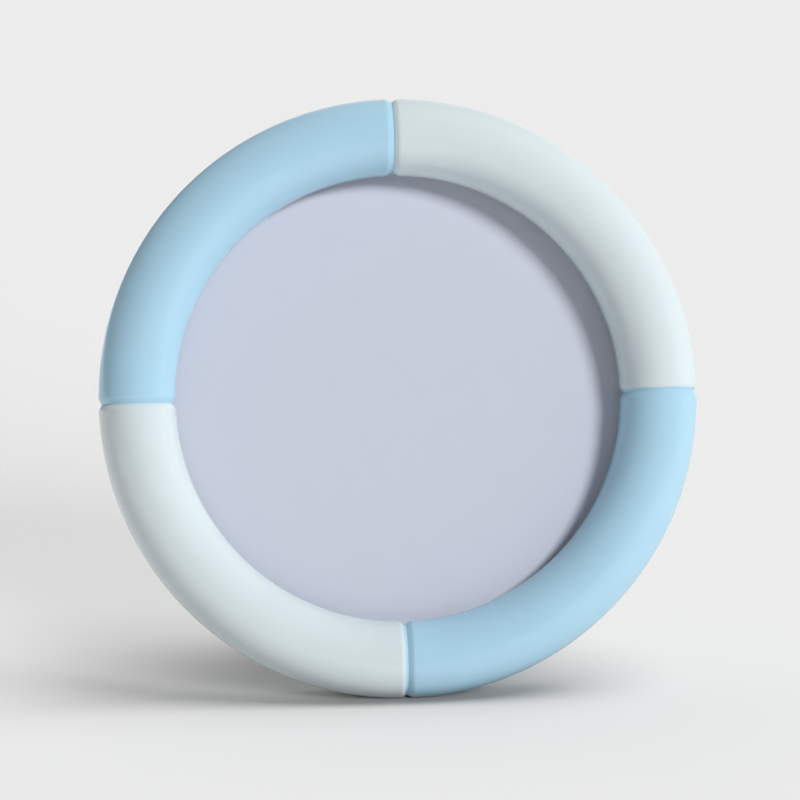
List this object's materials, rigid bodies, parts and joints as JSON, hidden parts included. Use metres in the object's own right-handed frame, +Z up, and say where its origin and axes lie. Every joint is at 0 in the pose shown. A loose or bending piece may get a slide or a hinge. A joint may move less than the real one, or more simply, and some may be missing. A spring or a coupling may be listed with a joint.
{
  "type": "round photo frame",
  "caption": "Round table photo frame with a half-round ring in coloured quarters, glass, backing board, turn buttons and a folding easel leg.",
  "frame": {"origin": "on the table, under the middle of the box around the frame as it stands with its leg open", "axes": "+X to the right of someone looking at the picture, +Y away from them, +Z up"},
  "size_m": [0.13, 0.0688, 0.1263],
  "materials": {
    "blue_lacquer": "satin gloss lacquer on cast resin, light blue",
    "mint_lacquer": "satin gloss lacquer on cast resin, pale mint white",
    "beech": "turned, bare",
    "glass": "clear float glass",
    "insert_paper": "matt paper, pale lavender grey",
    "grey_card": "uncoated grey board",
    "mdf": "cut fibreboard",
    "flock": "short charcoal flock on paper",
    "plated_steel": "stamped and nickel plated"
  },
  "bodies": {
    "frame": {"segment_upper_right": "mint_lacquer", "segment_upper_left": "blue_lacquer", "segment_lower_left": "mint_lacquer", "segment_lower_right": "blue_lacquer", "joint_dowels": "beech", "glass_pane": "glass", "photo_insert": "insert_paper", "filler_card": "grey_card", "back_board": "mdf", "back_board_cover": "flock", "hinge_board_leaf": "plated_steel", "hinge_pin": "plated_steel", "board_rivets": "plated_steel", "turn_button_screws": "plated_steel"},
    "leg": {"easel_leg": "mdf", "easel_leg_cover": "flock", "hinge_leg_leaf": "plated_steel", "leg_rivets": "plated_steel"},
    "button_upper_right": {"turn_button_upper_right": "plated_steel"},
    "button_upper_left": {"turn_button_upper_left": "plated_steel"},
    "button_lower_left": {"turn_button_lower_left": "plated_steel"},
    "button_lower_right": {"turn_button_lower_right": "plated_steel"}
  },
  "joints": [
    {"name": "leg_hinge", "type": "hinge", "parent": "frame", "child": "leg", "pos_m": [0, 0.00421, 0.08774], "axis": [1, 0, 0], "range_deg": [-30, 0]},
    {"name": "turn_button_upper_right", "type": "hinge", "parent": "frame", "child": "button_upper_right", "pos_m": [0.0388, 0.00547, 0.09856], "axis": [0, 0.9703, -0.2419], "continuous": true},
    {"name": "turn_button_upper_left", "type": "hinge", "parent": "frame", "child": "button_upper_left", "pos_m": [-0.0388, 0.00547, 0.09856], "axis": [0, 0.9703, -0.2419], "continuous": true},
    {"name": "turn_button_lower_left", "type": "hinge", "parent": "frame", "child": "button_lower_left", "pos_m": [-0.0388, -0.01331, 0.02326], "axis": [0, 0.9703, -0.2419], "continuous": true},
    {"name": "turn_button_lower_right", "type": "hinge", "parent": "frame", "child": "button_lower_right", "pos_m": [0.0388, -0.01331, 0.02326], "axis": [0, 0.9703, -0.2419], "continuous": true}
  ]
}
